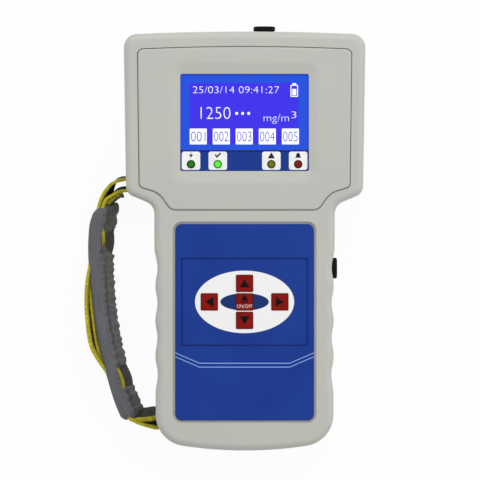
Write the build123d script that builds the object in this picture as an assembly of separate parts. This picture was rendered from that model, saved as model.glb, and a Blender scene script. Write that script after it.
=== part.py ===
from build123d import *
from math import atan, cos, radians, tan
import os

# Handheld airborne particle counter: a two-part moulded case with a wide sensing head
# and a scalloped grip, an inset display panel, a membrane keypad and a padded hand strap.
# Millimetres. X points to the right of the keypad, Y to the air inlet, Z from back to front.
# The origin is the middle of the case back, which is the face it rests on.

# Case
case_length = 238.0
case_depth = 50.0
head_width = 137.4
head_length = 91.9
head_taper = 1.4
grip_width = 102.4
foot_width = 101.0
parting_height = 31.0
wall = 2.5
front_wall = 3.5
front_round = 4.0
back_round = 5.0
parting_nick = 0.35
crown_slope = 0.043
foot_slope = 0.1375
shoulder_slope = 0.42
head_corner = 7.7
shoulder_corner = 6.2
neck_corner = 7.5
foot_corner = 18.0

# Finger scallops down both sides of the grip
scallop_pitch = 19.9
scallop_depth = 2.3
scallop_start = 42.4
scallop_end = 32.0

# Lap joint and seal between the two shells
lap_wall = 1.25
lap_gap = 0.1
lap_height = 2.0
seal_height = 0.8

# Display panel
panel_depth = 2.0
panel_rise = 0.6
panel_gap = 0.42
panel_margin = 7.6
panel_top = 8.4
panel_edge = 1.0
panel_corner = 3.4
panel_foot = 9.8
panel_foot_inset = 9.2
panel_waist_inset = 2.3
panel_shoulder = 3.3
panel_waist_corner = 12.0
panel_foot_corner = 6.0
window_width = 73.0
window_length = 55.2
window_drop = 51.7
window_ledge = 1.1
window_corner = 1.2
window_frame = 2.5
dish_border = 5.2
dish_length = 6.8
dish_corner = 8.0
dish_blend = 8.0
peg_diameter = 3.0
peg_length = 1.0
head_peg_inset = 14.7
head_peg_drop = 15.0
waist_peg_inset = 14.3
waist_peg_rise = 8.9

# Display module behind the panel
module_width = 76.0
module_length = 46.0
module_depth = 7.0
connector_inset = 2.0
connector_width = 1.6
connector_length = 8.0
glass_depth = 1.5
glass_length = 43.9
glass_tuck = 0.6
active_width = 61.6
active_length = 34.5
active_depth = 0.15
active_left = 0.3
active_drop = 1.2
strip_depth = 0.5
strip_length = 12.6
strip_gap = 0.1
lamp_diameter = 3.8
lamp_rise = 0.15
lamp_row = 23.7
lamp_places = {"charging": -30.4, "normal": -15.2, "fault": 15.2, "alarm": 30.4}
lamp_clearance = 0.1
holder_lift = 2.0

# Circuit board
board_width = 96.0
board_length = 76.0
board_depth = 1.6
board_drop = 15.0
board_hole_inset = 4.0
standoff_diameter = 6.0
buzzer_diameter = 12.0
buzzer_depth = 6.0
buzzer_x = -32.0
buzzer_drop = 14.0

# Membrane keypad
keypad_side = 10.45
keypad_top_gap = 16.05
keypad_foot_gap = 15.85
keypad_corner = 5.2
keypad_gap = 1.35
keypad_depth = 1.4
circuit_depth = 0.3
overlay_depth = 0.8
dome_round = 0.25
key_width = 9.6
key_corner = 0.6
key_round = 0.2
key_depth = 0.6
key_lift = 0.6
key_gap = 0.15
key_group_drop = 45.55
key_spread_x = 20.0
key_spread_y = 10.5
frame_width = 71.8
frame_length = 49.8
frame_line = 0.6
frame_rise = 0.12
tail_width = 22.0
tail_drop = 6.0
tail_slot = 1.2

# Screws
boss_diameter = 9.5
head_boss_inset = 9.7
head_boss_drop = 10.0
waist_boss_inset = 13.3
waist_boss_rise = 18.9
foot_boss_inset = 21.2
foot_boss_rise = 13.0
screw_diameter = 3.0
screw_head = 5.5
screw_head_depth = 2.4
screw_length = 21.0
screw_sink = 19.0
fit_gap = 0.1
head_clearance = 0.45
shank_clearance = 0.1
head_round = 0.35
cross_share = 0.6
cross_width = 0.7
cross_sink = 0.55
board_screw_diameter = 2.5
board_screw_head = 4.5
board_screw_head_depth = 1.6
board_screw_length = 6.0

# Battery bay in the back of the grip
bay_width = 76.0
bay_depth = 24.0
bay_wall = 1.8
bay_foot_gap = 28.0
bay_socket_gap = 7.5
door_depth = 2.0
door_side = 3.0
door_end = 6.0
door_corner = 3.0
door_gap = 0.3
door_ledge = 2.0
door_screw_inset = 10.0
door_screw_sink = 1.3
door_screw_head_depth = 1.1
door_screw_length = 9.0
door_boss_diameter = 7.0
door_boss_top = 12.0
pack_gap = 1.0
pack_depth = 19.0
pack_corner = 3.0
pack_cells = 4

# Air path: inlet, chamber, fan
port_height = 18.0
inlet_x = 11.3
nozzle_diameter = 9.0
nozzle_bore = 6.4
flange_diameter = 14.0
flange_depth = 2.0
spigot_diameter = 6.0
spigot_bore = 4.0
spigot_length = 3.2
nozzle_length = 11.6
nozzle_sink = 0.4
hose_wall = 1.5
chamber_drop = 21.0
chamber_width = 44.0
chamber_length = 36.0
chamber_depth = 22.0
exit_diameter = 18.0
laser_diameter = 8.0
laser_beam = 3.0
laser_depth = 8.0
laser_stand_out = 14.0
detector_diameter = 10.0
detector_head = 13.0
detector_depth = 5.0
detector_rise = 3.0
fan_size = 25.0
fan_depth = 10.0
fan_hub = 10.0
fan_blades = 7
fan_rim = 0.8
fan_arm = 1.5
fan_shaft = 2.0
fan_clearance = 0.7
blade_turn = 38.0
blade_width = 7.0
blade_depth = 0.8
slot_width = 1.6
slot_length = 22.0
slot_pitch = 4.0
slot_count = 5
slot_drop = 24.0

# Caps on the inlet and on the charging socket
cap_diameter = 12.5
cap_rise = 2.8
cap_round = 0.7
cap_neck = 10.4
cap_neck_length = 1.0
stem_length = 10.0
plug_diameter = 12.0
plug_rise = 3.6
plug_round = 1.0
plug_recess = 0.7
socket_length = 16.0
socket_reach = 12.0
socket_drop = 42.6
socket_stand_out = 0.2
socket_bore = 5.6
socket_pin = 2.0
socket_collar = 2.3
seat_gap = 0.3

# Hand strap on the left side
tape_width = 20.0
tape_depth = 1.6
strap_pin = 4.0
strap_height = 17.0
upper_pin_inset = 4.8
upper_pin_rise = 6.1
lower_pin_inset = 5.5
lower_pin_rise = 17.3
sleeve_width = 24.0
sleeve_depth = 13.5
sleeve_round = 4.5
tunnel_width = 21.4
tunnel_depth = 2.4
window_width_in_sleeve = 17.0
pocket_depth = 4.0
pocket_reach = 30.0
pocket_length = 10.6
pocket_wall = 2.0
pin_below = 13.5
pin_above = 12.5

# Sleeve line: share of the way from the upper pin to the lower, and how far out it stands for that span
sleeve_line = [(0.0775, 0.1227), (0.2592, 0.1848), (0.5309, 0.2045), (0.7419, 0.1785), (0.9250, 0.1325)]
sleeve_windows = [(0.16, 16.0), (0.78, 13.0)]

inner_swing = 7.0
top_swing = 10.5
top_bend = 14.0
foot_swing = 25.8
foot_bend = 10.0
exit_bend = 5.0
entry_length = 5.0
pin_slack = 0.1
bend_share = 0.45

# Outer run of the tape: share along, sleeve's stand-out there, and its gap from the sleeve
outer_line = [
    (0.7471, 0.1785, 2.5),
    (0.5072, 0.2050, 1.7),
    (0.2738, 0.1862, 0.3),
    (0.0428, 0.1190, 2.9),
]

head_top = case_length / 2
foot = -case_length / 2
shoulder_y = head_top - head_length
socket_y = shoulder_y - socket_drop
head_half = head_width / 2
shoulder_half = head_half - head_taper
grip_half = grip_width / 2
foot_half = foot_width / 2
cavity_top = case_depth - front_wall

panel_floor = case_depth - panel_depth
panel_face = case_depth + panel_rise
window_y = head_top - window_drop
window_top = window_y + window_length / 2
glass_y = window_top - glass_length / 2 + glass_tuck
strip_y = glass_y - glass_length / 2 - strip_gap - strip_length / 2
module_top = panel_floor - glass_depth
board_top = module_top - module_depth
board_y = head_top - board_drop - board_length / 2
lamp_y = window_y - lamp_row

keypad_width = 2 * (grip_half - keypad_side)
keypad_top = shoulder_y - keypad_top_gap
keypad_bottom = foot + keypad_foot_gap
keypad_y = (keypad_top + keypad_bottom) / 2
keypad_length = keypad_top - keypad_bottom
keypad_floor = case_depth - keypad_depth
overlay_bottom = keypad_floor + circuit_depth
overlay_top = overlay_bottom + overlay_depth
key_bottom = overlay_bottom + key_lift
keys_y = keypad_top - key_group_drop
key_places = {
    "up": (0, keys_y + key_spread_y),
    "down": (0, keys_y - key_spread_y),
    "left": (-key_spread_x, keys_y),
    "right": (key_spread_x, keys_y),
    "power": (0, keys_y),
}

bay_length = socket_y - bay_socket_gap - foot - bay_foot_gap
bay_y = foot + bay_foot_gap + bay_length / 2
door_width = bay_width + 2 * door_side
door_length = bay_length + 2 * door_end
door_screws_x = bay_width / 2 - door_screw_inset
door_screw_y = bay_y - bay_length / 2 - door_end / 2

nozzle_face = head_top - nozzle_sink
nozzle_shoulder = nozzle_face - nozzle_length
chamber_top = head_top - chamber_drop
chamber_y = chamber_top - chamber_length / 2
chamber_base = chamber_top - chamber_length
chamber_low = port_height - chamber_depth / 2
chamber_high = port_height + chamber_depth / 2
spigot_end = chamber_top + spigot_length
socket_face = grip_half - scallop_depth + socket_stand_out

upper_pin = (-shoulder_half + upper_pin_inset, shoulder_y + upper_pin_rise)
lower_pin = (-foot_half + lower_pin_inset, foot + lower_pin_rise)

boss_places = [
    (head_half - head_boss_inset, head_top - head_boss_drop),
    (shoulder_half - waist_boss_inset, shoulder_y + waist_boss_rise),
    (grip_half - foot_boss_inset, foot + foot_boss_rise),
]
bosses = [(side * x, y) for x, y in boss_places for side in (-1, 1)]
standoffs = [
    (side * (board_width / 2 - board_hole_inset), board_y + end * (board_length / 2 - board_hole_inset))
    for side in (-1, 1)
    for end in (-1, 1)
]
pegs = [
    (side * (head_half - head_peg_inset), head_top - head_peg_drop) for side in (-1, 1)
] + [
    (side * (shoulder_half - waist_peg_inset), shoulder_y + waist_peg_rise) for side in (-1, 1)
]


# A straight bend's radius, from how far it may reach along each side and how much it turns
def bend_radius(reach, turn):
    return reach / tan(turn / 2)


# A rounded vertex stands this far outside the arc that replaces it
def vertex_rise(radius, half_turn):
    return radius * (1 / cos(half_turn) - 1)


def rounded_face(corners):
    return make_face(
        FilletPolyline(
            *[(x, y) for x, y, radius in corners],
            radius=[radius for x, y, radius in corners],
            close=True,
        )
    )


# Closed face from corners (x, y, radius) down the right side, mirrored to the left
def symmetric_face(right):
    left = [(-x, y, radius) for x, y, radius in reversed(right) if x > 0]
    return rounded_face(right + left)


def case_corners():
    crown_turn = atan(crown_slope)
    crown = bend_radius(head_half - head_corner - 0.6, 2 * crown_turn)
    crown_y = head_top + vertex_rise(crown, crown_turn)
    corners = [
        (0, crown_y, crown),
        (head_half, crown_y - head_half * crown_slope, head_corner),
        (shoulder_half, shoulder_y, shoulder_corner),
        (grip_half, shoulder_y - (shoulder_half - grip_half) * shoulder_slope, neck_corner),
    ]
    half = scallop_pitch / 2
    turn = atan(scallop_depth / half)
    scallop = bend_radius(0.49 * half / cos(turn), 2 * turn)
    start = shoulder_y - scallop_start
    count = int((start + half - foot - scallop_end) / scallop_pitch)
    corners.append((grip_half, start + half, scallop))
    for index in range(count):
        valley = start - index * scallop_pitch
        crest = grip_half if index < count - 1 else foot_half
        corners.append((grip_half - scallop_depth, valley, scallop))
        corners.append((crest, valley - half, scallop))
    foot_turn = atan(foot_slope)
    heel = bend_radius(foot_half - foot_corner - 0.5, 2 * foot_turn)
    heel_y = foot - vertex_rise(heel, foot_turn)
    corners.append((foot_half, heel_y + foot_half * foot_slope, foot_corner))
    corners.append((0, heel_y, heel))
    return corners


# The panel follows the head and runs down between the shoulders towards the keypad
def panel_outline():
    crown_turn = atan(crown_slope)
    side = head_half - panel_margin
    crown = bend_radius(side - 2 * panel_corner, 2 * crown_turn)
    top = head_top - panel_top + vertex_rise(crown, crown_turn)
    return symmetric_face([
        (0, top, crown),
        (side, top - side * crown_slope, panel_corner),
        (side - head_taper + panel_gap, shoulder_y + panel_shoulder, panel_corner),
        (grip_half - panel_waist_inset, shoulder_y, panel_waist_corner),
        (grip_half - panel_foot_inset, shoulder_y - panel_foot, panel_foot_corner),
    ])


case_face = symmetric_face(case_corners())


def case_inset(amount):
    return offset(case_face, amount=-amount)


def prism(face, bottom, top):
    return extrude(Pos(0, 0, bottom) * face, amount=top - bottom, dir=(0, 0, 1))


def block(x, y, width, length, bottom, top, corner=0):
    face = RectangleRounded(width, length, corner) if corner else Rectangle(width, length)
    return prism(Pos(x, y) * face, bottom, top)


def rod(start, end, diameter):
    run = Vector(*end) - Vector(*start)
    seat = Plane(origin=start, z_dir=run)
    return seat * Cylinder(diameter / 2, run.length, align=(Align.CENTER, Align.CENTER, Align.MIN))


def upright(x, y, diameter, bottom, top):
    return rod((x, y, bottom), (x, y, top), diameter)


# Points on the axis of the air inlet and on that of the charging socket
def on_inlet(y):
    return (inlet_x, y, port_height)


def on_socket(x):
    return (x, socket_y, port_height)


def edges_at(shape, height):
    return shape.edges().filter_by_position(Axis.Z, height - 0.001, height + 0.001)


# Pocket round a strap pin, open to the side of the case
def pocket_box(pin, grow):
    x, y = pin
    right = x + pocket_depth + grow
    half = tape_width / 2 + 1 + grow
    length = pocket_length + 2 * grow
    return block(right - pocket_reach / 2, y, pocket_reach, length, strap_height - half, strap_height + half)


# Front half of the case: crowned, with seats for the display panel and the keypad
def front_shell():
    body = prism(case_face, parting_height, case_depth)
    body = fillet(edges_at(body, case_depth), front_round)
    body = chamfer(edges_at(body, parting_height), parting_nick)
    body -= prism(case_inset(wall), parting_height, cavity_top)
    body -= prism(case_inset(lap_wall), parting_height, parting_height + lap_height + seal_height)
    for x, y in bosses:
        body += upright(x, y, boss_diameter, parting_height, cavity_top)
        body -= upright(x, y, screw_diameter, parting_height, screw_sink + screw_length + 1)
    for x, y in standoffs:
        body += upright(x, y, standoff_diameter, board_top, cavity_top)
        body -= upright(x, y, board_screw_diameter, board_top, cavity_top - 1)
    body -= prism(panel_outline(), panel_floor, case_depth)
    opening = (window_width + 2 * window_frame, window_length + 2 * window_frame)
    body -= block(0, window_y, *opening, cavity_top, panel_floor, window_corner)
    for x, y in pegs:
        body -= upright(x, y, peg_diameter + 2 * fit_gap, cavity_top, panel_floor)
    body -= block(0, keypad_y, keypad_width, keypad_length, keypad_floor, case_depth, keypad_corner)
    body -= block(0, keypad_top - tail_drop, tail_width + 1, tail_slot, cavity_top, keypad_floor)
    return body


# Back half: screw columns, battery bay, strap pockets, inlet, socket and exhaust slots
def back_shell():
    body = prism(case_face, 0, parting_height)
    body = fillet(edges_at(body, 0), back_round)
    body = chamfer(edges_at(body, parting_height), parting_nick)
    whole = body
    body -= prism(case_inset(wall), wall, parting_height)
    lap = prism(case_inset(lap_wall + lap_gap), parting_height - 1, parting_height + lap_height)
    body += lap - prism(case_inset(wall), parting_height - 1, parting_height + lap_height)
    for x, y in bosses:
        body += upright(x, y, boss_diameter, wall / 2, parting_height)
    for pin in (upper_pin, lower_pin):
        body += pocket_box(pin, pocket_wall) & whole
    frame = door_side + 1
    body += block(0, bay_y, door_width + 2 * frame, door_length + 2 * door_side, 0.5, door_depth + door_ledge, 2)
    body += block(0, bay_y, bay_width + 2 * bay_wall, bay_length + 2 * bay_wall, wall, bay_depth + bay_wall, 2)
    for side in (-1, 1):
        body += upright(side * door_screws_x, door_screw_y, door_boss_diameter, wall, door_boss_top)
    for pin in (upper_pin, lower_pin):
        body -= pocket_box(pin, 0)
        body -= upright(*pin, strap_pin, strap_height - pin_below, strap_height + pin_above)
    seat = (door_width + 2 * door_gap, door_length + 2 * door_gap)
    body -= block(0, bay_y, *seat, 0, door_depth, door_corner + door_gap)
    body -= block(0, bay_y, bay_width, bay_length, 0, bay_depth, 1)
    for side in (-1, 1):
        body -= upright(side * door_screws_x, door_screw_y, screw_diameter, door_depth, door_boss_top - 1)
    for x, y in bosses:
        body -= upright(x, y, screw_head + 2 * head_clearance, 0, screw_sink)
        body -= upright(x, y, screw_diameter + 2 * shank_clearance, screw_sink, parting_height)
    port = nozzle_diameter + 2 * fit_gap
    body -= rod(on_inlet(nozzle_face - 2 * wall), on_inlet(nozzle_face + 2 * wall), port)
    body -= rod(on_socket(socket_face - 2 * wall), on_socket(socket_face + 2 * wall), port)
    body -= rod(on_socket(socket_face), on_socket(socket_face + 2 * wall), plug_diameter + 2 * plug_recess)
    first = inlet_x - slot_pitch * (slot_count - 1) / 2
    for index in range(slot_count):
        x = first + index * slot_pitch
        body -= block(x, chamber_base - slot_drop, slot_width, slot_length, 0, wall, slot_width / 2 - 0.01)
    return body


def case_seal():
    bottom = parting_height + lap_height
    outer = prism(case_inset(lap_wall + lap_gap), bottom, bottom + seal_height)
    return outer - prism(case_inset(wall - fit_gap / 2), bottom, bottom + seal_height)


# Pan-head screw pointing up, head underside at the given height
def screw(x, y, seat, diameter, head, head_depth, length):
    body = upright(x, y, head, seat - head_depth, seat)
    body = fillet(edges_at(body, seat - head_depth), head_round * head_depth)
    body += upright(x, y, diameter - fit_gap, seat, seat + length)
    slot = cross_share * head
    for width, depth in ((slot, cross_width), (cross_width, slot)):
        body -= block(x, y, width, depth, seat - head_depth, seat - (1 - cross_sink) * head_depth)
    return body


def case_screws():
    return Compound([
        screw(x, y, screw_sink, screw_diameter, screw_head, screw_head_depth, screw_length)
        for x, y in bosses
    ])


def board_screws():
    return Compound([
        screw(
            x, y, board_top - board_depth, board_screw_diameter,
            board_screw_head, board_screw_head_depth, board_screw_length,
        )
        for x, y in standoffs
    ])


def battery_door():
    body = block(0, bay_y, door_width, door_length, 0, door_depth, door_corner)
    body = fillet(edges_at(body, 0), door_depth / 4)
    for side in (-1, 1):
        x = side * door_screws_x
        body -= upright(x, door_screw_y, screw_head + 2 * door_gap, 0, door_screw_sink)
        body -= upright(x, door_screw_y, screw_diameter + 2 * shank_clearance, 0, door_depth)
    return body


def door_screws():
    return Compound([
        screw(
            side * door_screws_x, door_screw_y, door_screw_sink, screw_diameter,
            screw_head, door_screw_head_depth, door_screw_length,
        )
        for side in (-1, 1)
    ])


def battery_pack():
    width = bay_width - 2 * pack_gap
    length = bay_length - 2 * pack_gap
    cell = width / pack_cells
    middle = door_depth + pack_depth / 2
    body = block(0, bay_y, width - 2, length, door_depth, door_depth + pack_depth, pack_corner)
    for index in range(pack_cells):
        x = cell * (index - (pack_cells - 1) / 2)
        start = (x, bay_y - length / 2, middle)
        body += rod(start, (x, bay_y + length / 2, middle), min(cell, pack_depth) - fit_gap)
    return body


# Display panel: a raised plate whose surface dips softly to the window
def display_bezel():
    body = prism(offset(panel_outline(), amount=-panel_gap), panel_floor, panel_face)
    body = fillet(edges_at(body, panel_face), panel_edge)
    rim_width = window_width + 2 * dish_border
    rim_length = window_length + 2 * dish_length
    rim = RectangleRounded(rim_width, rim_length, dish_corner)
    sill = RectangleRounded(window_width, window_length, window_corner)
    ledge = panel_floor + window_ledge
    body -= loft([Pos(0, window_y, panel_face) * rim, Pos(0, window_y, ledge) * sill])
    body -= block(0, window_y, window_width, window_length, panel_floor, panel_face, window_corner)
    rim_edges = edges_at(body, panel_face).filter_by_position(Axis.X, -rim_width / 2 - 1, rim_width / 2 + 1)
    reach = rim_length / 2 + 1
    rim_edges = rim_edges.filter_by_position(Axis.Y, window_y - reach, window_y + reach)
    body = fillet(rim_edges, dish_blend)
    for x, y in pegs:
        body += upright(x, y, peg_diameter, cavity_top - peg_length, panel_floor)
    return body


def lcd_module():
    body = block(0, glass_y, module_width, module_length, board_top, module_top, 1)
    for side in (-1, 1):
        x = side * (module_width / 2 - connector_inset)
        body -= block(x, glass_y, connector_width, connector_length, board_top, module_top - 1)
    return body


def lcd_glass():
    return block(0, glass_y, window_width + 2, glass_length, module_top, panel_floor)


def lcd_active_area():
    x, y = -active_left, glass_y - active_drop
    return block(x, y, active_width, active_length, panel_floor, panel_floor + active_depth)


def indicator_strip():
    body = block(0, strip_y, window_width + 2, strip_length, panel_floor - strip_depth, panel_floor)
    for x in lamp_places.values():
        body -= upright(x, lamp_y, lamp_diameter + 2 * lamp_clearance, panel_floor - strip_depth, panel_floor)
    return body


def lamp_holder():
    width = window_width - 1
    bottom = board_top + holder_lift
    body = block(0, strip_y, width, strip_length - 2, bottom, panel_floor - strip_depth, 1)
    for x in lamp_places.values():
        body -= upright(x, lamp_y, lamp_diameter + 2 * lamp_clearance, bottom, panel_floor)
    for side in (-1, 1):
        body += upright(side * width * 0.3, strip_y, peg_diameter, board_top, bottom)
    return body


def lamp(x):
    top = panel_floor + lamp_rise
    body = upright(x, lamp_y, lamp_diameter, board_top, top)
    return fillet(edges_at(body, top), 0.5)


def main_board():
    body = block(0, board_y, board_width, board_length, board_top - board_depth, board_top, 1.5)
    for x, y in standoffs:
        body -= upright(x, y, board_screw_diameter + 2 * shank_clearance, board_top - board_depth, board_top)
    return body


def buzzer():
    top = board_top - board_depth
    y = board_y + board_length / 2 - buzzer_drop
    body = upright(buzzer_x, y, buzzer_diameter, top - buzzer_depth, top)
    return body - upright(buzzer_x, y, 2, top - buzzer_depth, top - 2)


# Membrane keypad: printed circuit below, overlay above, five pressed pads in it
def keypad_circuit():
    width = keypad_width - 2 * keypad_gap
    length = keypad_length - 2 * keypad_gap
    corner = keypad_corner - keypad_gap
    body = block(0, keypad_y, width, length, keypad_floor, overlay_bottom, corner)
    tail = block(0, keypad_top - tail_drop, tail_width, circuit_depth, board_top, keypad_floor)
    return body + tail


def keypad_overlay():
    width = keypad_width - 2 * keypad_gap
    length = keypad_length - 2 * keypad_gap
    corner = keypad_corner - keypad_gap
    body = block(0, keypad_y, width, length, overlay_bottom, overlay_top, corner)
    body = fillet(edges_at(body, overlay_top), dome_round)
    ridge = block(0, keys_y, frame_width, frame_length, overlay_top, overlay_top + frame_rise)
    inner = block(
        0, keys_y, frame_width - 2 * frame_line, frame_length - 2 * frame_line, overlay_top, overlay_top + 1
    )
    body += ridge - inner
    hole = key_width + 2 * key_gap
    for x, y in key_places.values():
        body -= block(x, y, hole, hole, overlay_bottom, overlay_top, key_corner + key_gap)
    return body


def key_pad(place):
    body = block(*place, key_width, key_width, key_bottom, key_bottom + key_depth, key_corner)
    return fillet(edges_at(body, key_bottom + key_depth), key_round)


# Air inlet through the top wall, with a spigot for the hose
def inlet_nozzle():
    wall_inside = head_top - wall - seat_gap
    tip = spigot_end + 2 * fit_gap
    body = rod(on_inlet(nozzle_shoulder), on_inlet(nozzle_face), nozzle_diameter)
    body += rod(on_inlet(wall_inside - flange_depth), on_inlet(wall_inside), flange_diameter)
    body += rod(on_inlet(tip), on_inlet(nozzle_shoulder), spigot_diameter)
    body -= rod(on_inlet(nozzle_face - stem_length - 0.5), on_inlet(nozzle_face), nozzle_bore)
    body -= rod(on_inlet(tip), on_inlet(nozzle_face), spigot_bore)
    return body


# Mushroom cap whose stem fills the inlet
def inlet_cap():
    neck = head_top + fit_gap
    head = neck + cap_neck_length
    body = rod(on_inlet(head), on_inlet(head + cap_rise), cap_diameter)
    body = fillet(body.edges().filter_by(GeomType.CIRCLE), cap_round)
    body += rod(on_inlet(neck), on_inlet(head), cap_neck)
    body += rod(on_inlet(nozzle_face - stem_length), on_inlet(neck), nozzle_bore - 2 * fit_gap)
    return body


def sampling_hose():
    ends = (on_inlet(chamber_top + 2 * fit_gap), on_inlet(nozzle_shoulder - 2 * fit_gap))
    return rod(*ends, spigot_diameter + 2 * hose_wall) - rod(*ends, spigot_diameter)


# Light-scatter chamber: air passes along Y, the laser crosses it along X
def optical_chamber():
    body = block(inlet_x, chamber_y, chamber_width, chamber_length, chamber_low, chamber_high, 2)
    body = fillet(edges_at(body, chamber_high), 1)
    body += rod(on_inlet(chamber_top), on_inlet(spigot_end), spigot_diameter)
    body -= rod(on_inlet(chamber_y), on_inlet(spigot_end), spigot_bore)
    body -= rod(on_inlet(chamber_base), on_inlet(chamber_y), exit_diameter)
    left = inlet_x - chamber_width / 2
    ends = [(x, chamber_y, port_height) for x in (left, left + chamber_width - 3)]
    body -= rod(*ends, laser_diameter + 2 * fit_gap)
    body -= upright(inlet_x, chamber_y, detector_diameter + 2 * fit_gap, port_height, chamber_high)
    return body


def laser_module():
    left = inlet_x - chamber_width / 2
    back, mouth, front = [
        (left + x, chamber_y, port_height) for x in (-laser_stand_out, laser_depth / 2, laser_depth)
    ]
    return rod(back, front, laser_diameter) - rod(mouth, front, laser_beam)


def photo_detector():
    body = upright(inlet_x, chamber_y, detector_diameter, chamber_high - detector_depth, chamber_high)
    return body + upright(inlet_x, chamber_y, detector_head, chamber_high, chamber_high + detector_rise)


def fan_seat():
    return Plane(
        origin=(inlet_x, chamber_base - fan_depth, port_height), x_dir=(1, 0, 0), z_dir=(0, 1, 0)
    )


# Square fan frame with its motor base on four arms
def fan_frame():
    body = block(0, 0, fan_size, fan_size, 0, fan_depth, 2)
    body -= upright(0, 0, fan_size - 2 * fan_rim, 0, fan_depth)
    body += block(0, 0, fan_size - 1, fan_arm, 0, fan_arm) + block(0, 0, fan_arm, fan_size - 1, 0, fan_arm)
    body += upright(0, 0, fan_hub, 0, fan_arm)
    body += upright(0, 0, fan_shaft, fan_arm, fan_depth - fan_shaft)
    return fan_seat() * body


def fan_rotor():
    bottom = fan_arm + fan_clearance
    body = upright(0, 0, fan_hub, bottom, fan_depth - fan_rim)
    tip = fan_size / 2 - 2 * fan_rim
    root = fan_hub / 2 - fan_rim
    middle = (bottom + fan_depth - fan_rim) / 2
    for index in range(fan_blades):
        blade = Rot(blade_turn, 0, 0) * Box(tip - root, blade_depth, blade_width)
        body += Rot(0, 0, 360 / fan_blades * index) * Pos((root + tip) / 2, 0, middle) * blade
    body -= upright(0, 0, fan_shaft + 1.6 * fit_gap, bottom, fan_depth - fan_shaft + fit_gap)
    return fan_seat() * body


# Barrel socket in the right wall of the grip
def charging_socket():
    face = socket_face - fit_gap
    inside = face - socket_collar
    body = rod(on_socket(face - socket_length), on_socket(face), nozzle_diameter)
    body += rod(on_socket(inside - flange_depth), on_socket(inside), flange_diameter)
    body -= rod(on_socket(face - socket_reach), on_socket(face), socket_bore)
    body += rod(on_socket(face - socket_reach), on_socket(face - 2), socket_pin)
    return body


def charging_plug():
    face = socket_face + seat_gap
    body = rod(on_socket(face), on_socket(face + plug_rise), plug_diameter)
    body = fillet(body.edges().filter_by(GeomType.CIRCLE).sort_by(Axis.X)[-1], plug_round)
    body += rod(on_socket(face - stem_length), on_socket(face), socket_bore - 2 * fit_gap)
    body -= rod(on_socket(face - stem_length), on_socket(face - 2), socket_pin + 4 * fit_gap)
    return body


def strap_pin_at(place):
    return upright(*place, strap_pin, strap_height - pin_below, strap_height + pin_above)


# Straight span from the upper strap pin to the lower, and a point beside it
strap_span = Vector(*lower_pin) - Vector(*upper_pin)


def beside_span(share, out):
    along = strap_span.normalized()
    place = Vector(*upper_pin) + strap_span * share + Vector(along.Y, -along.X) * out
    return place.X, place.Y


# Vertices with the largest even bends that their neighbours leave room for
def with_bends(points, before, after):
    chain = [Vector(*point) for point in (before, *points, after)]
    corners = []
    for last, here, following in zip(chain, chain[1:], chain[2:]):
        turn = radians((here - last).get_angle(following - here))
        reach = bend_share * min((here - last).length, (following - here).length)
        corners.append((here.X, here.Y, bend_radius(reach, turn)))
    return corners


def sleeve_corners():
    points = [beside_span(share, reach * strap_span.length) for share, reach in sleeve_line]
    start, *middle, end = points
    return start, with_bends(middle, start, end), end


# One closed belt of tape round both pins: the inner run passes through the sleeve
def strap_tape():
    high_x, high_y = upper_pin
    low_x, low_y = lower_pin
    turn = (strap_pin + tape_depth) / 2
    round_pin = turn + pin_slack
    pin_bend = turn - pin_slack / 2
    start, middle, end = sleeve_corners()
    lean_in = (start[0] - middle[0][0]) / (start[1] - middle[0][1])
    lean_out = (end[0] - middle[-1][0]) / (middle[-1][1] - end[1])
    clear = (sleeve_depth + tape_depth) / 2
    outer = [
        beside_span(share, reach * strap_span.length + clear + gap) for share, reach, gap in outer_line
    ]
    entry = [
        (high_x - inner_swing, high_y - turn),
        (start[0] + entry_length * lean_in, start[1] + entry_length),
    ]
    foot_turn = (low_x - foot_swing, low_y - turn)
    top_turn = (high_x - top_swing, high_y + turn)
    corners = [
        (high_x + round_pin, high_y + turn, pin_bend),
        (high_x + round_pin, high_y - turn, pin_bend),
        *with_bends(entry, (high_x, high_y - turn), middle[0][:2]),
        *middle,
        (end[0] + (end[1] - low_y - turn) * lean_out, low_y + turn, exit_bend),
        (low_x + round_pin, low_y + turn, pin_bend),
        (low_x + round_pin, low_y - turn, pin_bend),
        (*foot_turn, foot_bend),
        *with_bends(outer, foot_turn, top_turn),
        (*top_turn, top_bend),
    ]
    belt = rounded_face(corners)
    ring = offset(belt, amount=tape_depth / 2) - offset(belt, amount=-tape_depth / 2)
    return prism(ring, strap_height - tape_width / 2, strap_height + tape_width / 2)


# Padded sleeve with two windows on the side towards the hand
def strap_sleeve():
    start, middle, end = sleeve_corners()
    points = [start, *[(x, y) for x, y, radius in middle], end]
    path = FilletPolyline(
        *[(x, y, strap_height) for x, y in points], radius=[radius for x, y, radius in middle]
    )
    seat = Plane(origin=path @ 0, x_dir=(0, 0, 1), z_dir=path % 0)
    body = sweep(seat * RectangleRounded(sleeve_width, sleeve_depth, sleeve_round), path=path)
    body -= sweep(seat * Rectangle(tunnel_width, tunnel_depth), path=path)
    for share, length in sleeve_windows:
        window = Plane(origin=path @ share, x_dir=(0, 0, 1), z_dir=path % share)
        body -= window * Pos(0, -sleeve_depth / 2, 0) * Box(window_width_in_sleeve, sleeve_depth, length)
    return body


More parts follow.
